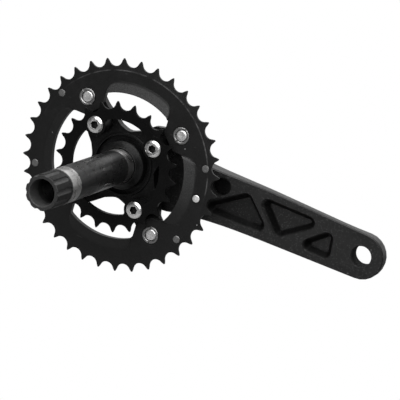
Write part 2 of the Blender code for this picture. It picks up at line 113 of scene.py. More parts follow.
def grey(level, warmth=0.0):
    return (level * (1 + warmth), level, level * (1 - warmth), 1.0)


ROOM = 0.08                        # light from everywhere
BACK_LIGHT = 0.85                  # the white wall behind
TOP_LIGHT = 0.35


def light_room():
    world = bpy.data.worlds.new("studio")
    bpy.context.scene.world = world
    world.use_nodes = True
    tree = world.node_tree
    tree.nodes.clear()
    way = add(tree, "TexCoord").outputs["Generated"]
    parts = add(tree, "SeparateXYZ", Vector=way)
    back = ramp(tree, parts.outputs["Y"], 0.1, 0.6, 0.0, BACK_LIGHT)
    top = ramp(tree, parts.outputs["Z"], 0.3, 0.9, 0.0, TOP_LIGHT)
    level = calc(tree, "ADD", calc(tree, "ADD", back, top), ROOM)
    lit = add(tree, "Background", Color=grey(1.0), Strength=level)
    seen = add(tree, "Background", Color=grey(1.0), Strength=1.0)
    path = add(tree, "LightPath")
    both = add(tree, "MixShader", i0=path.outputs["Is Camera Ray"], i1=lit.outputs[0], i2=seen.outputs[0])
    add(tree, "OutputWorld", Surface=both.outputs[0])


light_room()
bpy.context.scene.view_settings.view_transform = "Standard"

FLOOR_HEIGHT = -0.36
FLOOR_SIDE = 14.0


def lay_floor():
    bm = bmesh.new()
    bmesh.ops.create_grid(bm, x_segments=8, y_segments=8, size=FLOOR_SIDE / 2)
    mesh = bpy.data.meshes.new("paper_floor")
    bm.to_mesh(mesh)
    bm.free()
    floor = bpy.data.objects.new("paper_floor", mesh)
    floor.location = (0, 0, FLOOR_HEIGHT)
    bpy.context.scene.collection.objects.link(floor)
    paper = bpy.data.materials.new("white_paper")
    paper.use_nodes = True
    tree = paper.node_tree
    tree.nodes.clear()
    fibre = add(tree, "TexNoise", Scale=60.0, Detail=4.0)
    matt = add(tree, "BsdfDiffuse", Color=tint(tree, fibre.outputs[0], grey(0.28), grey(0.32)))
    bright = add(tree, "Emission", Color=grey(1.0), Strength=1.0)
    path = add(tree, "LightPath")
    both = add(tree, "MixShader", i0=path.outputs["Is Camera Ray"], i1=matt.outputs[0], i2=bright.outputs[0])
    add(tree, "OutputMaterial", Surface=both.outputs[0])
    mesh.materials.append(paper)


lay_floor()


def soft_light(name, place, power, width):
    """A round diffuser facing the object."""
    data = bpy.data.lights.new(name, "AREA")
    data.shape = "DISK"
    data.size = width
    data.energy = power
    light = bpy.data.objects.new(name, data)
    light.location = place
    light.rotation_mode = "QUATERNION"
    light.rotation_quaternion = (-Vector(place)).to_track_quat("-Z", "Y")
    light.visible_camera = False
    bpy.context.scene.collection.objects.link(light)


soft_light("front_light", (0.04, -0.62, 0.58), 13.0, 1.1)
soft_light("overhead_light", (0.1, 0.9, 1.9), 26.0, 1.2)


# Crank arm. One aluminium forging: the arm with its three lightening pockets, the four-armed spider and the
# hub that is pressed on the spindle. It is blasted to an even grain and anodised satin black.

def linked(name, mesh):
    obj = bpy.data.objects.new(name, mesh)
    bpy.context.scene.collection.objects.link(obj)
    return obj


def settled(obj):
    """Makes the object's modifiers part of its mesh."""
    bpy.context.view_layer.update()
    mesh = bpy.data.meshes.new_from_object(obj.evaluated_get(bpy.context.evaluated_depsgraph_get()))
    obj.modifiers.clear()
    obj.data = mesh
    return obj


def broken_edges(obj, width, sharp=32, rounds=2, crease=None):
    """Rounds the sharp edges a little, as deburring does, and keeps the flats flat."""
    obj.data.shade_smooth()
    if crease:
        bm = bmesh.new()
        bm.from_mesh(obj.data)
        for joint in bm.edges:
            level = all(abs(face.normal.y) > 0.9 for face in joint.link_faces)
            if level and joint.calc_face_angle(0) > radians(crease):
                joint.smooth = False
        bm.to_mesh(obj.data)
        bm.free()
    edge = obj.modifiers.new("edges", "BEVEL")
    edge.limit_method = "ANGLE"
    edge.angle_limit = radians(sharp)
    edge.width = width * MM
    edge.segments = rounds
    edge.harden_normals = True
    flats = obj.modifiers.new("flats", "WEIGHTED_NORMAL")
    flats.keep_sharp = True
    flats.weight = 80
    return settled(obj)


def from_cad(node, name, width, sharp=32):
    """The node's own shape with its seams closed and its edges broken."""
    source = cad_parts[node].data
    bm = bmesh.new()
    corners = [bm.verts.new(v.co) for v in source.vertices]
    for face in source.polygons:
        bm.faces.new([corners[i] for i in face.vertices])
    bmesh.ops.remove_doubles(bm, verts=bm.verts, dist=2e-6)
    bmesh.ops.dissolve_limit(bm, angle_limit=radians(0.6), verts=bm.verts, edges=bm.edges)
    mesh = bpy.data.meshes.new(name)
    bm.to_mesh(mesh)
    bm.free()
    return broken_edges(linked(name, mesh), width, sharp)


def place_on(obj, mat, slot, body, *nodes):
    """Gives a finished piece its material and its body, and hides the nodes it stands for."""
    obj.data.materials.clear()
    obj.data.materials.append(mat)
    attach(obj, body)
    if nodes:
        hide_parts(*nodes)
    return obj


def new_group(name, inputs, outputs):
    group = bpy.data.node_groups.new(name, "ShaderNodeTree")
    for socket, value in inputs.items():
        made = group.interface.new_socket(socket, in_out="INPUT", socket_type="NodeSocketFloat")
        made.default_value = value
    for socket in outputs:
        group.interface.new_socket(socket, in_out="OUTPUT", socket_type="NodeSocketFloat")
    return group, group.nodes.new("NodeGroupInput").outputs, group.nodes.new("NodeGroupOutput").inputs


def in_millimetres(tree, size=1.0):
    """Places on the piece in millimetres, divided by a size."""
    where = add(tree, "TexCoord").outputs["Object"]
    factor = calc(tree, "DIVIDE", 1000.0, size)
    return add(tree, "VectorMath", {"operation": "SCALE"}, i0=where, Scale=factor).outputs[0]


def make_grain():
    """Blasted grain: an even tone, its relief, and the odd bright crystal."""
    tree, given, out = new_group("blasted_grain", {"Size": 0.3, "Fleck Share": 0.1},
                                 ["Tone", "Height", "Fleck"])
    where = in_millimetres(tree, given["Size"])
    tone = add(tree, "TexNoise", Vector=where, Scale=1.0, Detail=3.0, Roughness=0.65).outputs[0]
    cells = add(tree, "TexVoronoi", {"feature": "F1"}, Vector=where, Scale=0.8)
    lot = add(tree, "SeparateColor", Color=cells.outputs["Color"]).outputs[0]
    chosen = calc(tree, "LESS_THAN", lot, given["Fleck Share"])
    near = ramp(tree, cells.outputs["Distance"], 0.15, 0.5, 1.0, 0.0)
    tree.links.new(ramp(tree, tone, 0.3, 0.7), out["Tone"])
    tree.links.new(calc(tree, "ADD", tone, calc(tree, "MULTIPLY", near, 0.3)), out["Height"])
    tree.links.new(calc(tree, "MULTIPLY", chosen, near), out["Fleck"])
    return tree


def make_marks():
    """Handling: smears that change the gloss, and thin scratches in two directions."""
    tree, given, out = new_group("handling_marks", {"Size": 12.0}, ["Smear", "Scratch"])
    where = in_millimetres(tree, given["Size"])
    smear = add(tree, "TexNoise", Vector=where, Scale=1.0, Detail=5.0, Roughness=0.6,
                Distortion=0.6).outputs[0]
    tree.links.new(ramp(tree, smear, 0.35, 0.68), out["Smear"])
    drawn = add(tree, "Mapping", Vector=where, Rotation=(0.5, 0.3, 0.9), Scale=(1.0, 26.0, 14.0)).outputs[0]
    lines = add(tree, "TexNoise", Vector=drawn, Scale=1.0, Detail=2.0).outputs[0]
    fine = ramp(tree, lines, 0.70, 0.76)
    broken = ramp(tree, add(tree, "TexNoise", Vector=where, Scale=2.2, Detail=1.0).outputs[0], 0.5, 0.6)
    tree.links.new(calc(tree, "MULTIPLY", fine, broken), out["Scratch"])
    return tree


def make_dust():
    """Sparse specks of dust or grease, of uneven size."""
    tree, given, out = new_group("specks", {"Spacing": 4.0, "Share": 0.3}, ["Mask"])
    where = in_millimetres(tree, given["Spacing"])
    cells = add(tree, "TexVoronoi", {"feature": "F1"}, Vector=where, Scale=1.0)
    lot = add(tree, "SeparateColor", Color=cells.outputs["Color"])
    chosen = calc(tree, "LESS_THAN", lot.outputs[0], given["Share"])
    reach = calc(tree, "MULTIPLY_ADD", lot.outputs[1], 0.06, 0.02)
    inside = calc(tree, "LESS_THAN", cells.outputs["Distance"], reach)
    tree.links.new(calc(tree, "MULTIPLY", chosen, inside), out["Mask"])
    return tree


def make_axis():
    """Where a point lies about the spindle's axis: radius, place along it, and angle in degrees."""
    tree, _, out = new_group("about_the_axis", {}, ["Radius", "Along", "Angle"])
    parts = add(tree, "SeparateXYZ", Vector=in_millimetres(tree))
    x, y, z = parts.outputs
    across = calc(tree, "ADD", calc(tree, "MULTIPLY", x, x), calc(tree, "MULTIPLY", z, z))
    tree.links.new(calc(tree, "SQRT", across), out["Radius"])
    tree.links.new(y, out["Along"])
    turn = calc(tree, "ARCTAN2", z, x)
    tree.links.new(calc(tree, "MULTIPLY", turn, degrees(1)), out["Angle"])
    return tree


GRAIN, MARKS, SPECKS, AXIS = make_grain(), make_marks(), make_dust(), make_axis()


def effect(tree, group, **values):
    made = tree.nodes.new("ShaderNodeGroup")
    made.node_tree = group
    for key, value in values.items():
        made.inputs[key.replace("_", " ")].default_value = value
    return made.outputs


def new_finish(name):
    mat = bpy.data.materials.new(name)
    mat.use_nodes = True
    return mat, mat.node_tree, mat.node_tree.nodes["Principled BSDF"]


def wire(tree, shader, **sockets):
    for key, value in sockets.items():
        socket = shader.inputs[key.replace("_", " ")]
        if isinstance(value, bpy.types.NodeSocket):
            tree.links.new(value, socket)
        else:
            socket.default_value = value


ARM_GRAIN = 0.55                   # size of the blasted grain
ARM_DARK, ARM_LIGHT = grey(0.004), grey(0.011)
ARM_FLECK = grey(0.10)
ARM_DUST = grey(0.3)
# The colour of the painted shade on the spider, the pockets and the pedal eye.
ARM_PAINTED_SHADE = grey(0.002)
ARM_GLOSS = 0.36
ARM_SHINE = 0.33
FACE_START, FACE_LEVEL = 80.0, 21.8          # the arm's inboard face: its level at one place,
FACE_RISE, FACE_TOP = 0.13, 24.3             # how it climbs along the arm, and where it levels off
POCKET_REACH = 12.6                          # the pockets stay this near the arm's middle
POCKETS_START = (50.0, 56.0)
POCKET_FLOOR = (5.2, 6.6)                    # where a sloping wall ends
FIRST_POCKET_END = (96.0, 102.0)
PEDAL_EYE_START = (160.0, 166.0)
# How strong the painted shade is on the pocket walls and the pedal eye, and on the first pocket's floor.
WALL_SHADE, FLOOR_SHADE = 0.66, 0.45
SPIDER_SHADE_INSIDE, SPIDER_SHADE_OUTSIDE = 36.0, 56.0         # painted shade darkens the spider between these radii
SPIDER_SHADE_DEPTH = 0.62


def pocket_shade(tree):
    """Painted shade on the walls of the pockets and the pedal eye, and on the first pocket's floor."""
    x, y, z = add(tree, "SeparateXYZ", Vector=in_millimetres(tree)).outputs
    rising = calc(tree, "MULTIPLY_ADD", calc(tree, "SUBTRACT", x, FACE_START), FACE_RISE, FACE_LEVEL)
    depth = calc(tree, "SUBTRACT", y, calc(tree, "MINIMUM", rising, FACE_TOP))
    beside = ramp(tree, calc(tree, "ABSOLUTE", z), POCKET_REACH, POCKET_REACH + 0.8, 1.0, 0.0)
    along = calc(tree, "MULTIPLY", ramp(tree, x, *POCKETS_START), beside)
    bottom = calc(tree, "MAXIMUM", ramp(tree, depth, *POCKET_FLOOR, 1.0, 0.0),
                  ramp(tree, x, *PEDAL_EYE_START))
    wall = calc(tree, "MULTIPLY", ramp(tree, depth, 0.5, 2.2), bottom)
    floor = calc(tree, "MULTIPLY", ramp(tree, depth, *POCKET_FLOOR, 0.0, FLOOR_SHADE),
                 ramp(tree, x, *FIRST_POCKET_END, 1.0, 0.0))
    return calc(tree, "MULTIPLY", along, calc(tree, "ADD", wall, floor))


PEDAL_X, PEDAL_REACH = 175.0, 7.5
THREAD_PITCH = 1.27
THREAD_ROUGH, THREAD_RELIEF = 0.5, 5.0


def pedal_thread(tree):
    """Where the pedal hole is, and the ridges of its thread along it."""
    x, y, z = add(tree, "SeparateXYZ", Vector=in_millimetres(tree)).outputs
    off = calc(tree, "SUBTRACT", x, PEDAL_X)
    across = calc(tree, "ADD", calc(tree, "MULTIPLY", off, off), calc(tree, "MULTIPLY", z, z))
    inside = ramp(tree, calc(tree, "SQRT", across), PEDAL_REACH, PEDAL_REACH + 0.2, 1.0, 0.0)
    return inside, calc(tree, "SINE", calc(tree, "MULTIPLY", y, 2 * pi / THREAD_PITCH))


def arm_finish():
    mat, tree, shader = new_finish("satin_black_forging")
    grain = effect(tree, GRAIN, Size=ARM_GRAIN, Fleck_Share=0.22)
    marks = effect(tree, MARKS, Size=16.0)
    dust = effect(tree, SPECKS, Spacing=5.0, Share=0.12)
    colour = tint(tree, grain["Tone"], ARM_DARK, ARM_LIGHT)
    colour = tint(tree, calc(tree, "MULTIPLY", grain["Fleck"], 0.6), colour, ARM_FLECK)
    colour = tint(tree, calc(tree, "MULTIPLY", dust["Mask"], 0.5), colour, ARM_DUST)
    gloss = calc(tree, "MULTIPLY_ADD", marks["Smear"], 0.10, ARM_GLOSS)
    gloss = calc(tree, "MULTIPLY_ADD", grain["Tone"], 0.06, gloss)
    in_hole, ridges = pedal_thread(tree)
    gloss = calc(tree, "MULTIPLY_ADD", in_hole, THREAD_ROUGH, gloss)
    thread = calc(tree, "MULTIPLY", in_hole, ridges)
    height = calc(tree, "MULTIPLY_ADD", thread, THREAD_RELIEF, grain["Height"])
    relief = add(tree, "Bump", Strength=0.35, Distance=0.00006, Height=height).outputs[0]
    about = effect(tree, AXIS)
    # Painted shade: the spider between these radii is darkened and made less reflective, a little less on one
    # side.
    darkened_zone = calc(tree, "MULTIPLY", ramp(tree, about["Radius"], SPIDER_SHADE_INSIDE, SPIDER_SHADE_OUTSIDE, SPIDER_SHADE_DEPTH, 0.0),
                 ramp(tree, about["Angle"], -30.0, 120.0, 1.0, 0.85))
    # Painted shade in the pockets and the pedal eye, joined with the spider's, darkens and dulls the arm.
    dimmed = calc(tree, "MAXIMUM", darkened_zone, calc(tree, "MULTIPLY", pocket_shade(tree), WALL_SHADE))
    colour = tint(tree, dimmed, colour, ARM_PAINTED_SHADE)
    wire(tree, shader, Base_Color=colour, Roughness=gloss, Normal=relief, Metallic=dimmed)
    shader.inputs["Specular IOR Level"].default_value = ARM_SHINE
    return mat


ARM_BLACK = arm_finish()
arm = from_cad("crank_arm", "forged_arm_and_spider", 0.25)
place_on(arm, ARM_BLACK, "anodised_arm", "crankset", "crank_arm")


# Chainrings. Both are stamped from aluminium plate, their teeth milled thinner than the plate, and anodised
# black. The outer ring's windows have pressed rims that lean inboard; the inner ring is flat.

RIM_FACE, RIM_END = (-1.65, -1.95), (-4.4, -4.1)      # the rims, along the spindle
STEP_INSIDE, STEP_OUTSIDE = (65.2, 65.6), (66.3, 65.9)    # the step inside the outer ring's teeth
STEP_FACE = (-1.0, -1.15)
# The colour of the painted highlight along the step.
STEP_HIGHLIGHT = grey(0.09)
RING_SCRATCH, RING_DUST = grey(0.10), grey(0.45)


def ring_finish(name, level, rough, shine, tooth_start, tooth_tip):
    """Black finish, rubbed lighter on the tooth tips, with a painted highlight on the rims beside the arm and
    above, and along the step.
    """
    mat, tree, shader = new_finish(name)
    grain = effect(tree, GRAIN, Size=0.35, Fleck_Share=0.10)
    marks = effect(tree, MARKS, Size=10.0)
    dust = effect(tree, SPECKS, Spacing=6.0, Share=0.16)
    about = effect(tree, AXIS)
    colour = tint(tree, grain["Tone"], grey(level * 0.7), grey(level * 1.3))
    colour = tint(tree, calc(tree, "MULTIPLY", grain["Fleck"], 0.35), colour, grey(level * 4))
    # Painted highlight: the window rims above and beside the arm are lighter, on the side towards the lights.
    rim = calc(tree, "MULTIPLY", ramp(tree, about["Along"], *RIM_FACE), ramp(tree, about["Along"], *RIM_END))
    highlit_side = calc(tree, "MULTIPLY", ramp(tree, about["Angle"], -22.0, 18.0, 0.1, 1.0),
                  ramp(tree, about["Angle"], 110.0, 150.0, 1.0, 0.1))
    rim = calc(tree, "MULTIPLY", rim, highlit_side)
    colour = tint(tree, calc(tree, "MULTIPLY", rim, ramp(tree, grain["Tone"], 0.1, 0.9, 0.2, 1.0)), colour,
                  grey(level * 7.0))
    # Painted highlight: a bright line along the step inside the teeth, on the side towards the light, broken
    # by smears.
    step = calc(tree, "MULTIPLY", ramp(tree, about["Radius"], *STEP_INSIDE),
                ramp(tree, about["Radius"], *STEP_OUTSIDE))
    highlit_side = calc(tree, "MULTIPLY", highlit_side, ramp(tree, about["Angle"], -10.0, 12.0))
    step = calc(tree, "MULTIPLY", step, highlit_side)
    step = calc(tree, "MULTIPLY", step, ramp(tree, about["Along"], *STEP_FACE))
    colour = tint(tree, calc(tree, "MULTIPLY", step, calc(tree, "MULTIPLY", marks["Smear"], 0.8)), colour,
                  STEP_HIGHLIGHT)
    worn = ramp(tree, about["Radius"], tooth_start, tooth_tip)
    worn = calc(tree, "MULTIPLY", worn, ramp(tree, grain["Tone"], 0.2, 0.8, 0.35, 1.0))
    colour = tint(tree, worn, colour, grey(level * 2.2))
    colour = tint(tree, calc(tree, "MULTIPLY", marks["Scratch"], 0.35), colour, RING_SCRATCH)
    colour = tint(tree, calc(tree, "MULTIPLY", dust["Mask"], 0.6), colour, RING_DUST)
    gloss = calc(tree, "MULTIPLY_ADD", marks["Smear"], 0.10, rough)
    gloss = calc(tree, "MULTIPLY_ADD", grain["Tone"], 0.05, gloss)
    relief = add(tree, "Bump", Strength=0.3, Distance=0.00004, Height=grain["Height"]).outputs[0]
    wire(tree, shader, Base_Color=colour, Roughness=gloss, Normal=relief, Metallic=0.0)
    shader.inputs["Specular IOR Level"].default_value = shine
    return mat


def polar(radius, angle):
    return radius * cos(radians(angle)), radius * sin(radians(angle))


def spun(x, z, angle):
    c, s = cos(radians(angle)), sin(radians(angle))
    return x * c - z * s, x * s + z * c


def arc(cx, cz, r, start, end, steps):
    angles = [start + (end - start) * i / steps for i in range(steps + 1)]
    return [(cx + r * cos(radians(a)), cz + r * sin(radians(a))) for a in angles]


def filleted(corners, steps=10):
    """Outline through (x, z, radius) corners, each rounded to its radius."""
    outline = []
    for i, (x, z, r) in enumerate(corners):
        if r == 0:
            outline.append((x, z))
            continue
        px, pz, _ = corners[i - 1]
        nx, nz, _ = corners[(i + 1) % len(corners)]
        before = atan2(pz - z, px - x)
        after = atan2(nz - z, nx - x)
        opening = (after - before + pi) % (2 * pi) - pi
        half = abs(opening) / 2
        middle = before + opening / 2
        cx = x + r / sin(half) * cos(middle)
        cz = z + r / sin(half) * sin(middle)
        turn = (pi - 2 * half) * (1 if opening > 0 else -1)
        for k in range(steps + 1):
            a = middle + pi + turn * (0.5 - k / steps)
            outline.append((cx + r * cos(a), cz + r * sin(a)))
    return outline


SEAT_R, SEAT_ARC = 5.2, 72         # the hollow a chain roller sits in


def toothed_outline(teeth, tip_r, root_r, phase):
    corners = []
    tip_half = degrees(0.35 / tip_r)
    for i in range(teeth):
        tooth = phase + i * 360 / teeth
        corners += [(*polar(tip_r, tooth - tip_half), 0.35), (*polar(tip_r, tooth + tip_half), 0.35)]
        seat = arc(root_r + SEAT_R, 0, SEAT_R, 180 + SEAT_ARC, 180 - SEAT_ARC, 14)
        corners += [(*spun(x, z, tooth + 180 / teeth), 0) for x, z in seat]
    return filleted(corners, 3)


def plate(name, outline, y0, y1):
    """A flat outline in the XZ plane, thickened along Y."""
    curve = bpy.data.curves.new(name, "CURVE")
    curve.dimensions = "2D"
    curve.fill_mode = "BOTH"
    curve.extrude = (y1 - y0) / 2 * MM
    spline = curve.splines.new("POLY")
    spline.points.add(len(outline) - 1)
    for point, (x, z) in zip(spline.points, outline):
        point.co = (x * MM, z * MM, 0, 1)
    spline.use_cyclic_u = True
    flat = linked(name, curve)
    flat.rotation_euler = (pi / 2, 0, 0)
    flat.location = (0, (y0 + y1) / 2 * MM, 0)
    bpy.context.view_layer.update()
    mesh = bpy.data.meshes.new_from_object(flat.evaluated_get(bpy.context.evaluated_depsgraph_get()))
    mesh.transform(flat.matrix_world)
    bpy.data.objects.remove(flat, do_unlink=True)
    return closed(name, mesh)


def closed(name, mesh):
    bm = bmesh.new()
    bm.from_mesh(mesh)
    bmesh.ops.remove_doubles(bm, verts=bm.verts, dist=1e-6)
    bmesh.ops.recalc_face_normals(bm, faces=bm.faces)
    bm.to_mesh(mesh)
    bm.free()
    return linked(name, mesh)


def lofted(name, loops):
    """A solid through loops of (x, y, z) points with equal counts, capped at both ends."""
    bm = bmesh.new()
    rings = [[bm.verts.new((x * MM, y * MM, z * MM)) for x, y, z in loop] for loop in loops]
    for lower, upper in zip(rings, rings[1:]):
        for i in range(len(lower)):
            bm.faces.new((lower[i - 1], lower[i], upper[i], upper[i - 1]))
    bm.faces.new(rings[0])
    bm.faces.new(rings[-1])
    bmesh.ops.recalc_face_normals(bm, faces=bm.faces)
    mesh = bpy.data.meshes.new(name)
    bm.to_mesh(mesh)
    bm.free()
    return linked(name, mesh)


def turned(name, profile, steps=48, place=(0, 0)):
    """A closed shape turned about Y from (radius, y) points; a radius of 0 closes on the axis."""
    bm = bmesh.new()
    rings = []
    for r, y in profile:
        count = 1 if r == 0 else steps
        rings.append([bm.verts.new(((place[0] + r * cos(2 * pi * k / steps)) * MM, y * MM,
                                    (place[1] + r * sin(2 * pi * k / steps)) * MM)) for k in range(count)])
    pairs = list(zip(rings, rings[1:]))
    if profile[0][0] > 0:
        pairs.append((rings[-1], rings[0]))
    for a, b in pairs:
        for k in range(steps):
            n = (k + 1) % steps
            corners = [a[k % len(a)], a[n % len(a)], b[n % len(b)], b[k % len(b)]]
            bm.faces.new(list(dict.fromkeys(corners)))
    bmesh.ops.recalc_face_normals(bm, faces=bm.faces)
    mesh = bpy.data.meshes.new(name)
    bm.to_mesh(mesh)
    bm.free()
    return linked(name, mesh)


def worked(target, operation, *tools):
    """Joins, keeps or cuts away the tools' shapes, and removes the tools."""
    for tool in tools:
        step = target.modifiers.new("work", "BOOLEAN")
        step.operation = operation
        step.solver = "EXACT"
        step.object = tool
    settled(target)
    for tool in tools:
        bpy.data.objects.remove(tool, do_unlink=True)
    return target


TAB_ANGLES = (45, 135, 225, 315)
OUTER_BOLT_R, INNER_BOLT_R = 52.0, 32.0
FACE, BACK = -1.5, 2.3             # the outer plate, along the spindle
WINDOW_R = (49.2, 50.6, 50.6, 50.6)
WINDOW_HALF = 24.5
RIM_R, RIM_RISE = 58.5, 1.6        # where a window's rim starts, and how far it leans inboard
TAB_CORNER = 34.0
PIN_CIRCLE_R, PIN_ANGLES = 64.3, (20, 150, 200, 330)      # the shift rivets


def outer_opening(radii, half_width, corner_r):
    """Inside edge of the outer plate: four windows with a bolt tab between every two."""
    corners = []
    for quarter, radius in enumerate(radii):
        half = degrees(asin(half_width / radius))
        edge = arc(0, 0, radius, half, -half, 24)
        window = [(TAB_CORNER, half_width, 3.0), (*edge[0], corner_r)]
        window += [(x, z, 0) for x, z in edge[3:-3]]
        window += [(*edge[-1], corner_r), (TAB_CORNER, -half_width, 3.0)]
        corners += [(*spun(x, z, 90 * quarter), r) for x, z, r in reversed(window)]
    return filleted(corners)


def hole(place, profile):
    ends = [(0, profile[0][1])] + profile + [(0, profile[-1][1])]
    return turned("drill", ends, 40, place)


def outer_plate():
    over = 0.5
    ring = turned("outer_toothed_ring", [
        (38.0, BACK), (66.8, BACK), (67.8, 0.8), (75.0, 0.15), (75.0, -0.55), (66.0, -1.2), (65.5, FACE),
        (38.0, FACE)], 180)
    worked(ring, "INTERSECT", plate("teeth", toothed_outline(36, 74.0, 68.35, 45), -4, 5))
    wide = outer_opening((RIM_R,) * 4, WINDOW_HALF - 0.3, 9.0)
    lean = RIM_RISE / (RIM_R - WINDOW_R[1])
    crest = outer_opening([r - over / lean for r in WINDOW_R], WINDOW_HALF - 0.3, 4.0)
    worked(ring, "UNION", lofted("rims", [
        [(x, FACE + 1, z) for x, z in wide], [(x, FACE, z) for x, z in wide],
        [(x, FACE - RIM_RISE - over, z) for x, z in crest]]))
    narrow = outer_opening(WINDOW_R, WINDOW_HALF, 4.0)
    behind = outer_opening((RIM_R,) * 4, WINDOW_HALF, 9.0)
    tools = [lofted("windows", [
        [(x, FACE - 4, z) for x, z in narrow], [(x, BACK - RIM_RISE, z) for x, z in narrow],
        [(x, BACK, z) for x, z in behind], [(x, BACK + over, z) for x, z in behind]])]
    for angle in TAB_ANGLES:
        tools.append(hole(polar(OUTER_BOLT_R, angle), [(5.2, BACK + 1), (5.2, -0.7), (6.25, -0.7),
                                                       (6.25, FACE - 1)]))
    low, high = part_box("chain_stop_pin")
    pins = [polar(PIN_CIRCLE_R, angle) for angle in PIN_ANGLES] + [((low.x + high.x) / 2 / MM, 0)]
    for place in pins:
        tools.append(hole(place, [(2.75, BACK + 1), (2.75, FACE - 1)]))
    worked(ring, "DIFFERENCE", *tools)
    return broken_edges(ring, 0.13, 38, crease=5)


def inner_opening():
    """Inside edge of the inner plate: a circle with a round tab reaching in to each bolt."""
    opening_r, tab_r = 33.0, 7.8
    lean = (opening_r ** 2 + INNER_BOLT_R ** 2 - tab_r ** 2) / (2 * opening_r * INNER_BOLT_R)
    half = 90 - degrees(asin(lean))
    edge = arc(0, 0, opening_r, half, 90 - half, 24)
    meet = degrees(atan2(opening_r * sin(radians(half)), opening_r * cos(radians(half)) - INNER_BOLT_R))
    tab = arc(INNER_BOLT_R, 0, tab_r, -meet, meet - 360, 24)
    corners = []
    for angle in TAB_ANGLES:
        corners += [(*spun(x, z, angle), 0) for x, z in tab[2:-2]]
        window = [spun(x, z, angle) for x, z in edge]
        corners += [(*window[0], 2.0)] + [(x, z, 0) for x, z in window[2:-2]] + [(*window[-1], 2.0)]
    return filleted(corners, 5)


def inner_plate():
    ring = turned("inner_toothed_ring", [
        (22.0, -5.0), (38.2, -5.0), (39.0, -6.0), (46.5, -6.7), (46.5, -7.4), (39.0, -8.2),
        (22.0, -8.2)], 144)
    worked(ring, "INTERSECT", plate("teeth", toothed_outline(22, 45.5, 39.9, 7), -10, -3))
    tools = [plate("inner_windows", inner_opening(), -10, -3)]
    for angle in TAB_ANGLES:
        tools.append(hole(polar(INNER_BOLT_R, angle), [(4.1, -4.0), (4.1, -7.4), (6.25, -7.4), (6.25, -9.2)]))
    worked(ring, "DIFFERENCE", *tools)
    return broken_edges(ring, 0.13, 38, crease=4)


place_on(outer_plate(), ring_finish("outer_ring_black", 0.006, 0.32, 0.22, 70.0, 74.2), "anodised_ring",
         "crankset", "outer_chainring")
place_on(inner_plate(), ring_finish("inner_ring_black", 0.003, 0.26, 0.08, 41.5, 45.8), "anodised_ring",
         "crankset", "inner_chainring")


# Spindle. A hollow steel tube, turned and ground, with ten open flutes rolled into its free end. It is
# blackened except for two bands, which are ground bare where the bearings sit.

BARE_BANDS = ((-95.5, -83.5), (-11.5, -3.0))
BAND_EDGE = 0.25
STEEL_DARK, STEEL_LIGHT = grey(0.42, 0.01), grey(0.56, 0.01)
OIL_START = (-96.0, -97.5)          # the fluted end is oily


def spindle_finish():
    mat, tree, shader = new_finish("blackened_steel_bare_bands")
    about = effect(tree, AXIS)
    grain = effect(tree, GRAIN, Size=0.8, Fleck_Share=0.15)
    marks = effect(tree, MARKS, Size=7.0)
    bare = None
    for start, end in BARE_BANDS:
        band = calc(tree, "MULTIPLY", ramp(tree, about["Along"], start - BAND_EDGE, start + BAND_EDGE),
                    ramp(tree, about["Along"], end - BAND_EDGE, end + BAND_EDGE, 1.0, 0.0))
        bare = band if bare is None else calc(tree, "ADD", bare, band)
    outside = ramp(tree, about["Radius"], 11.4, 11.7)
    bare = calc(tree, "MULTIPLY", bare, outside)
    black = tint(tree, grain["Tone"], grey(0.005), grey(0.012))
    black = tint(tree, calc(tree, "MULTIPLY", grain["Fleck"], 0.5), black, grey(0.05))
    steel = tint(tree, grain["Tone"], STEEL_DARK, STEEL_LIGHT)
    lathe = add(tree, "TexNoise", {"noise_dimensions": "1D"}, W=calc(tree, "MULTIPLY", about["Along"], 9.0),
                Scale=1.0, Detail=2.0).outputs[0]
    inside = ramp(tree, about["Radius"], 9.5, 9.2)
    mouth = calc(tree, "MULTIPLY", inside, ramp(tree, about["Along"], -104.3, -104.7))
    colour = tint(tree, bare, black, steel)
    colour = tint(tree, mouth, colour, grey(0.035))
    darkened_zone = ramp(tree, about["Along"], *OIL_START)
    colour = tint(tree, calc(tree, "MULTIPLY", darkened_zone, outside), colour, grey(0.005))
    gloss = calc(tree, "MULTIPLY_ADD", marks["Smear"], 0.14, 0.26)
    gloss = calc(tree, "MULTIPLY_ADD", darkened_zone, 0.34, gloss)
    height = calc(tree, "MULTIPLY_ADD", lathe, 0.5, grain["Height"])
    relief = add(tree, "Bump", Strength=0.3, Distance=0.00006, Height=height).outputs[0]
    dimmed = calc(tree, "MULTIPLY", calc(tree, "MULTIPLY", darkened_zone, outside), 0.6)
    metal = calc(tree, "ADD", bare, dimmed)
    wire(tree, shader, Base_Color=colour, Roughness=gloss, Normal=relief, Metallic=metal)
    shader.inputs["Specular IOR Level"].default_value = 0.5
    return mat


tube = from_cad("spindle", "fluted_spindle", 0.16)
place_on(tube, spindle_finish(), "blackened_steel", "crankset", "spindle")


# Outer ring fasteners. Each tab is held by a steel bolt from outboard, screwed into a sleeve nut whose
# slotted flange sits in the ring's counterbore. Both are plated bright.

def bright_finish(name, base, rough, scuffed):
    mat, tree, shader = new_finish(name)
    grain = effect(tree, GRAIN, Size=0.5, Fleck_Share=0.2)
    marks = effect(tree, MARKS, Size=3.0)
    colour = tint(tree, grain["Tone"], grey(base * 0.82, 0.006), grey(base, 0.004))
    colour = tint(tree, calc(tree, "MULTIPLY", marks["Smear"], scuffed), colour, grey(base * 0.35))
    gloss = calc(tree, "MULTIPLY_ADD", marks["Smear"], 0.2, rough)
    relief = add(tree, "Bump", Strength=0.4, Distance=0.00008, Height=grain["Height"]).outputs[0]
    wire(tree, shader, Base_Color=colour, Roughness=gloss, Normal=relief, Metallic=1.0)
    return mat


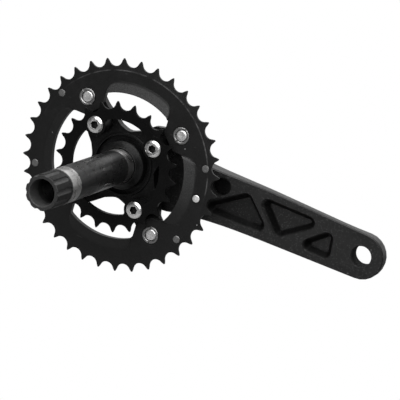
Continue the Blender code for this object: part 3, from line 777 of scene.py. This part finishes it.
BOLT_BRIGHT = bright_finish("bright_plating", 0.82, 0.18, 0.25)
NUT_GREY = bright_finish("worn_plating", 0.30, 0.30, 0.5)
THREAD_BRIGHT = bright_finish("cut_thread", 0.88, 0.32, 0.35)
PIN_GREY = bright_finish("dull_rivet", 0.22, 0.45, 0.5)
PIN_WHITE = bright_finish("bright_rivet", 0.86, 0.4, 0.15)


def block(size, place, turn=0.0):
    """A cutting block, its size and place in millimetres, turned about Y."""
    bm = bmesh.new()
    bmesh.ops.create_cube(bm, size=1, matrix=Matrix.Diagonal((*(s * MM for s in size), 1)))
    mesh = bpy.data.meshes.new("cutting_block")
    bm.to_mesh(mesh)
    bm.free()
    obj = linked("cutting_block", mesh)
    obj.location = [p * MM for p in place]
    obj.rotation_euler = (0, radians(-turn), 0)
    return obj


def hexagon(across, y0, y1):
    bm = bmesh.new()
    bmesh.ops.create_cone(bm, cap_ends=True, segments=6, radius1=across / 2 / cos(pi / 6) * MM,
                          radius2=across / 2 / cos(pi / 6) * MM, depth=(y1 - y0) * MM,
                          matrix=Matrix.Rotation(pi / 2, 4, "X"))
    mesh = bpy.data.meshes.new("hexagon_cutter")
    bm.to_mesh(mesh)
    bm.free()
    obj = linked("hexagon_cutter", mesh)
    obj.location = (0, (y0 + y1) / 2 * MM, 0)
    return obj


def at_angle(shape, name, radius, angle, spin):
    """A copy of a turned shape on its bolt circle, spun about its own axis."""
    piece = linked(name, shape.data.copy())
    piece.data.transform(Matrix.Rotation(radians(-spin), 4, "Y"))
    piece.data.transform(Matrix.Translation((radius * cos(radians(angle)) * MM, 0,
                                             radius * sin(radians(angle)) * MM)))
    return piece


KEY_ACROSS = 5.0                   # hexagon key
NUT_SPINS = (70, 140, 20, 100)     # how the nuts came to rest


def outer_fasteners():
    nut = turned("nut_shape", [
        (4.1, 6.8), (4.9, 6.8), (4.9, -1.0), (6.0, -1.0), (6.0, -1.75), (5.85, -2.0), (5.55, -2.15),
        (5.1, -2.2), (4.75, -2.15), (4.3, -1.95), (4.1, -1.6)])
    worked(nut, "DIFFERENCE", block((16, 1.6, 1.5), (0, -2.2, 0)))
    broken_edges(nut, 0.12, 35)
    thread = []
    for turn in range(9):
        thread += [(3.8, 2.2 - turn * 0.4), (3.45, 2.0 - turn * 0.4)]
    bolt = turned("bolt_shape", [
        (0, 10.2), (4.8, 10.2), (5.5, 10.0), (5.9, 9.6), (6.0, 9.2), (6.0, 7.9), (3.8, 7.9), (3.8, 2.6),
        *thread, (3.0, -1.45), (1.6, -1.35), (0, -1.1)])
    worked(bolt, "DIFFERENCE", hexagon(KEY_ACROSS, 7.6, 11.5))
    broken_edges(bolt, 0.10, 40)
    for number, (angle, spin) in enumerate(zip(TAB_ANGLES, NUT_SPINS), start=1):
        piece = at_angle(nut, f"sleeve_nut_{number}", OUTER_BOLT_R, angle, spin)
        place_on(piece, NUT_GREY, "bright_steel", "crankset", f"outer_nut_{number}")
        piece = at_angle(bolt, f"ring_bolt_{number}", OUTER_BOLT_R, angle, spin * 1.7)
        place_on(piece, THREAD_BRIGHT, "bright_steel", "crankset", f"outer_bolt_{number}")
    for shape in (nut, bolt):
        bpy.data.objects.remove(shape, do_unlink=True)


outer_fasteners()


# Inner ring bolts. Round-headed steel bolts with a 5 mm hexagon socket, plated bright, screwed from the
# frame side into the spider's posts.

def socket_finish():
    """Old grease and shadow in the bottom of a socket."""
    mat, tree, shader = new_finish("socket_grime_and_shade")
    grain = effect(tree, GRAIN, Size=0.6, Fleck_Share=0.1)
    colour = tint(tree, grain["Tone"], grey(0.006), grey(0.03))
    gloss = calc(tree, "MULTIPLY_ADD", grain["Tone"], 0.2, 0.45)
    relief = add(tree, "Bump", Strength=0.5, Distance=0.0001, Height=grain["Height"]).outputs[0]
    wire(tree, shader, Base_Color=colour, Roughness=gloss, Normal=relief, Metallic=0.6)
    return mat


# A dark finish inside the sockets: old grease and painted shadow.
SOCKET_GRIME_AND_SHADE = socket_finish()


def add_grime_and_shade(bolt, centre, radius, low, high):
    """Puts the grime and painted shadow on the faces inside a socket: within a radius of its centre, between
    two levels.
    """
    bolt.data.materials.append(SOCKET_GRIME_AND_SHADE)
    for face in bolt.data.polygons:
        x, y, z = face.center / MM
        if hypot(x - centre[0], z - centre[1]) < radius and low < y < high:
            face.material_index = 1


SOCKET_R, SOCKET_LOW, SOCKET_HIGH = 2.95, -9.6, -5.0
SOCKET_SPINS = (12, 40, 25, 52)


def inner_bolts():
    bolt = turned("inner_bolt_shape", [
        (0, 5.8), (3.2, 5.8), (3.8, 5.2), (3.8, -7.7), (6.0, -7.7), (6.0, -8.4), (5.9, -8.75), (5.55, -9.1),
        (4.7, -9.55), (4.2, -9.75), (3.6, -9.8), (0, -9.8)])
    worked(bolt, "DIFFERENCE", hexagon(KEY_ACROSS, -11.0, -5.5))
    broken_edges(bolt, 0.12, 40)
    for number, (angle, spin) in enumerate(zip(TAB_ANGLES, SOCKET_SPINS), start=1):
        piece = at_angle(bolt, f"inner_ring_bolt_{number}", INNER_BOLT_R, angle, spin)
        place_on(piece, BOLT_BRIGHT, "bright_steel", "crankset", f"inner_bolt_{number}")
        add_grime_and_shade(piece, polar(INNER_BOLT_R, angle), SOCKET_R, SOCKET_LOW, SOCKET_HIGH)
    bpy.data.objects.remove(bolt, do_unlink=True)


inner_bolts()


# Rivets. Four short steel pins behind the outer ring's teeth pick up the chain when it is shifted; their
# faces are rolled over and dull. A longer bright pin beside the arm stops a dropped chain.

def rivets():
    pin = turned("pin_shape", [(0, 2.0), (2.6, 2.0), (2.6, -1.6), (2.5, -1.75), (2.2, -1.88), (1.0, -1.9),
                               (0, -1.85)], 32)
    broken_edges(pin, 0.08, 40)
    for number, angle in enumerate(PIN_ANGLES, start=1):
        piece = at_angle(pin, f"shift_rivet_{number}", PIN_CIRCLE_R, angle, angle)
        place_on(piece, PIN_GREY, "bright_steel", "crankset", f"shift_pin_{number}")
    bpy.data.objects.remove(pin, do_unlink=True)
    stop = turned("stop_shape", [
        (0, 14.5), (2.3, 14.45), (2.9, 14.2), (3.2, 13.7), (3.2, 2.6), (2.6, 2.6), (2.6, -1.6), (2.5, -1.75),
        (2.2, -1.88), (1.0, -1.9), (0, -1.9)], 32)
    low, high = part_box("chain_stop_pin")
    stop.data.transform(Matrix.Translation(((low.x + high.x) / 2, 0, 0)))
    broken_edges(stop, 0.08, 40)
    stop.name = "chain_stop_rivet"
    place_on(stop, PIN_WHITE, "bright_steel", "crankset", "chain_stop_pin")


rivets()


# Seal ring. A moulded rubber ring that rides on the spindle in the hub's groove, with a thin lip towards
# the frame. It carries a smear of bearing grease with grit in it.

def seal_finish():
    mat, tree, shader = new_finish("greased_rubber")
    grain = effect(tree, GRAIN, Size=0.9, Fleck_Share=0.3)
    wet = effect(tree, SPECKS, Spacing=1.1, Share=0.45)
    marks = effect(tree, MARKS, Size=5.0)
    colour = tint(tree, grain["Tone"], grey(0.003), grey(0.008))
    colour = tint(tree, calc(tree, "MULTIPLY", wet["Mask"], 0.7), colour, grey(0.08))
    gloss = calc(tree, "MULTIPLY_ADD", marks["Smear"], 0.25, 0.30)
    height = calc(tree, "MULTIPLY_ADD", wet["Mask"], 1.5, grain["Height"])
    relief = add(tree, "Bump", Strength=0.6, Distance=0.00015, Height=height).outputs[0]
    wire(tree, shader, Base_Color=colour, Roughness=gloss, Normal=relief)
    shader.inputs["Specular IOR Level"].default_value = 0.2
    return mat


def seal():
    ring = turned("seal_shape", [
        (12.3, 7.7), (17.0, 7.7), (17.0, 1.6), (16.9, 1.2), (16.6, 0.9), (15.5, 0.2), (14.3, -0.9),
        (13.5, -1.9), (13.1, -2.45), (12.9, -2.58), (12.7, -2.6), (12.4, -2.5), (12.3, -2.3)], 96)
    broken_edges(ring, 0.05, 50)
    ring.name = "lip_seal"
    place_on(ring, seal_finish(), "seal_rubber", "seal", "seal_ring")


seal()
